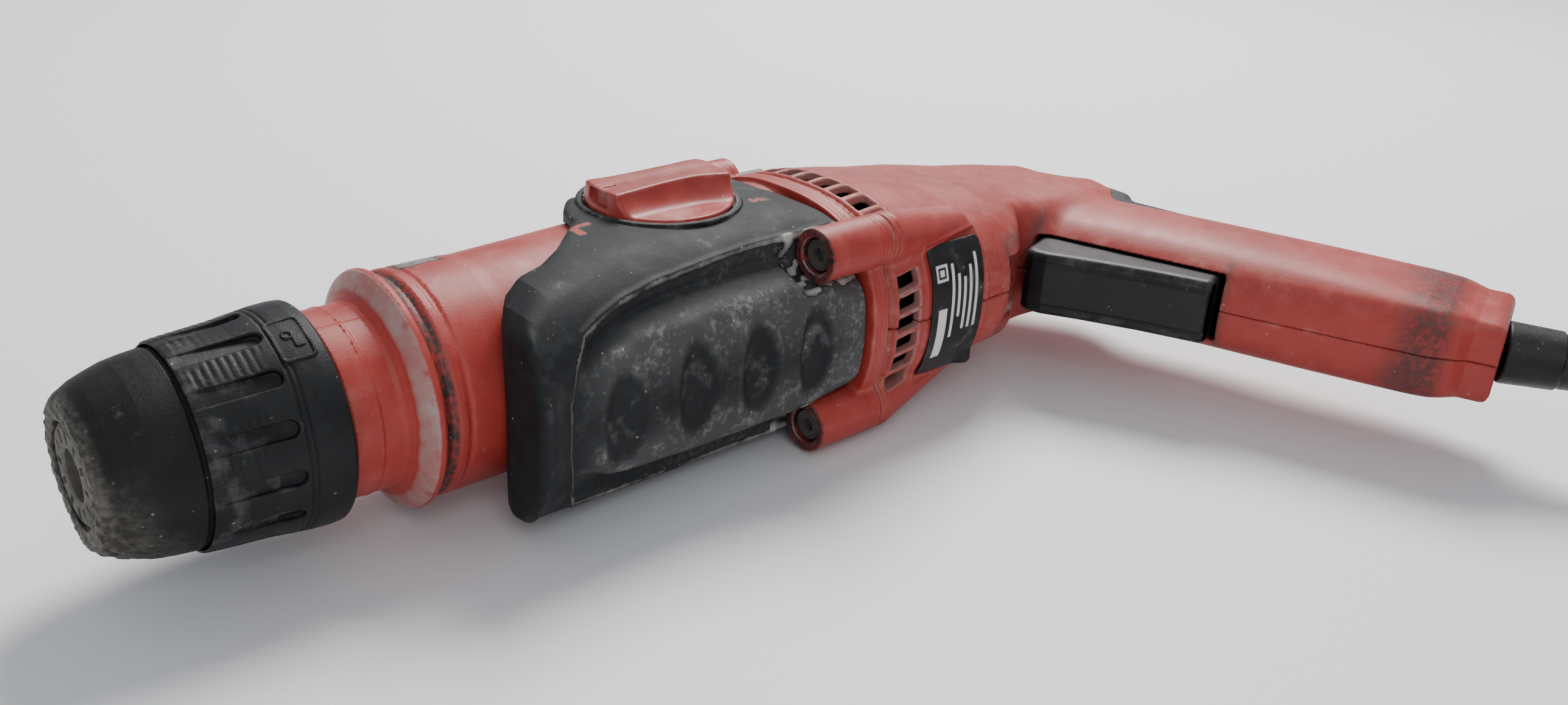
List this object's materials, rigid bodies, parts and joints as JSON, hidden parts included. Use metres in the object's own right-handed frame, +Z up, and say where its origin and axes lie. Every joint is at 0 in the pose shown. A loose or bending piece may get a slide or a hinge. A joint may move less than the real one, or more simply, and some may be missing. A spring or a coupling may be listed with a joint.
{
  "type": "rotary hammer",
  "caption": "Corded pistol-grip rotary hammer lying on its side, with bit-release chuck, mode knob, trigger, geared hammer drive and a coiled mains cord.",
  "frame": {"origin": "middle of the tool's bounding box without its free cord, on the surface it lies on", "axes": "-X along the drill axis towards the nose, +Y towards the tool's spine, +Z up out of its left side, where the mode knob is"},
  "size_m": [0.3954, 0.3915, 0.077],
  "materials": {
    "red_shell": "worn satin",
    "red_knob": "worn satin",
    "grip_cover": "soft-touch, dusty",
    "soft_grip": "matt",
    "chuck_rubber": "matt, abraded",
    "ring_plastic": "satin",
    "hard_steel": "ground and greased",
    "gear_steel": "oiled",
    "bearing_steel": "polished",
    "spring_steel": "drawn wire",
    "seal_rubber": "matt",
    "bronze": "satin",
    "plate_alloy": "cast",
    "screw_steel": "blackened and dusty",
    "lamination": "varnished",
    "copper_wire": "enamelled",
    "fan_plastic": "moulded",
    "carbon": "matt",
    "label_foil": "worn foil",
    "trigger_plastic": "satin",
    "suppressor_film": "film",
    "cord_rubber": "satin",
    "pin_metal": "nickel plated"
  },
  "bodies": {
    "housing": {"gear_housing": "red_shell", "grip_cover": "grip_cover", "front_seal": "seal_rubber", "spindle_bearing": "bearing_steel", "guide_bush": "bronze", "middle_plate": "plate_alloy", "shaft_bearings": "bearing_steel", "gear_plate": "plate_alloy", "boss_screws": "screw_steel", "motor_bearings": "bearing_steel", "field_core": "lamination", "field_coils": "copper_wire", "rear_bracket": "fan_plastic", "brush_holders": "bronze", "brushes": "carbon", "brush_springs": "spring_steel", "housing_left": "red_shell", "housing_right": "red_shell", "back_strip": "soft_grip", "rating_label": "label_foil", "trigger_spring": "spring_steel", "switch_body": "fan_plastic", "suppressor": "suppressor_film", "cord_clamp": "fan_plastic", "handle_screws": "screw_steel", "strain_relief": "cord_rubber", "cord_run": "cord_rubber", "cord_coil": "cord_rubber", "plug_body": "cord_rubber", "plug_pins": "pin_metal"},
    "spindle": {"spindle": "hard_steel", "spindle_gear": "gear_steel", "clutch_spring": "spring_steel", "clutch_disc": "hard_steel", "chuck_barrel": "hard_steel", "lock_balls": "bearing_steel", "chuck_lock_balls": "bearing_steel", "dust_cap": "chuck_rubber", "sleeve_spring": "spring_steel"},
    "bit_sleeve": {"bit_sleeve": "chuck_rubber"},
    "release_ring": {"release_ring": "ring_plastic"},
    "intermediate_shaft": {"intermediate_shaft": "hard_steel", "intermediate_gear": "gear_steel", "wobble_drum": "hard_steel"},
    "wobble_ring": {"wobble_ring": "hard_steel"},
    "piston": {"piston": "hard_steel", "piston_pin": "hard_steel"},
    "striker": {"striker": "hard_steel", "striker_seal": "seal_rubber"},
    "anvil": {"anvil": "hard_steel", "anvil_seal": "seal_rubber"},
    "armature": {"armature_shaft": "hard_steel", "armature_core": "lamination", "armature_windings": "copper_wire", "commutator": "copper_wire", "fan": "fan_plastic"},
    "selector_knob": {"selector_knob": "red_knob", "selector_pin": "hard_steel", "selector_seal": "seal_rubber"},
    "trigger": {"trigger": "trigger_plastic"}
  },
  "joints": [
    {"name": "armature_spin", "type": "hinge", "parent": "housing", "child": "armature", "pos_m": [0.05663, 0.05659, 0.035], "axis": [1, 0, 0], "continuous": true},
    {"name": "shaft_spin", "type": "hinge", "parent": "housing", "child": "intermediate_shaft", "pos_m": [-0.03137, 0.04015, 0.035], "axis": [1, 0, 0], "continuous": true},
    {"name": "spindle_spin", "type": "hinge", "parent": "housing", "child": "spindle", "pos_m": [-0.08137, 0.06814, 0.035], "axis": [1, 0, 0], "continuous": true},
    {"name": "sleeve_slide", "type": "slide", "parent": "spindle", "child": "bit_sleeve", "axis": [1, 0, 0], "range_m": [0, 0.006], "stiffness_N_per_m": 900, "springref_m": -0.004, "deforming": ["sleeve_spring"]},
    {"name": "ring_turn", "type": "hinge", "parent": "spindle", "child": "release_ring", "pos_m": [-0.13637, 0.06814, 0.035], "axis": [1, 0, 0], "range_deg": [0, 30], "stiffness_Nm_per_rad": 0.4, "springref_deg": -17.19},
    {"name": "wobble_swing", "type": "hinge", "parent": "housing", "child": "wobble_ring", "pos_m": [-0.02437, 0.04015, 0.035], "axis": [0, 0, 1], "range_deg": [-13, 13]},
    {"name": "piston_slide", "type": "slide", "parent": "housing", "child": "piston", "axis": [1, 0, 0], "range_m": [-0.00635, 0.00635]},
    {"name": "striker_slide", "type": "slide", "parent": "housing", "child": "striker", "axis": [-1, 0, 0], "range_m": [0, 0.0075]},
    {"name": "anvil_slide", "type": "slide", "parent": "housing", "child": "anvil", "axis": [-1, 0, 0], "range_m": [0, 0.004]},
    {"name": "knob_turn", "type": "hinge", "parent": "housing", "child": "selector_knob", "pos_m": [-0.02237, 0.06814, 0.07], "axis": [0, 0, 1], "range_deg": [-35, 150]},
    {"name": "trigger_slide", "type": "slide", "parent": "housing", "child": "trigger", "axis": [0.9563, 0.2924, 0], "range_m": [0, 0.007], "stiffness_N_per_m": 900, "springref_m": -0.004, "deforming": ["trigger_spring"]}
  ],
  "couplings": [
    {"joint": "shaft_spin", "follows": "armature_spin", "ratio": -0.14634},
    {"joint": "spindle_spin", "follows": "armature_spin", "ratio": 0.028023},
    {"joint": "wobble_swing", "follows": "piston_slide", "rad_per_m": -35.7}
  ]
}
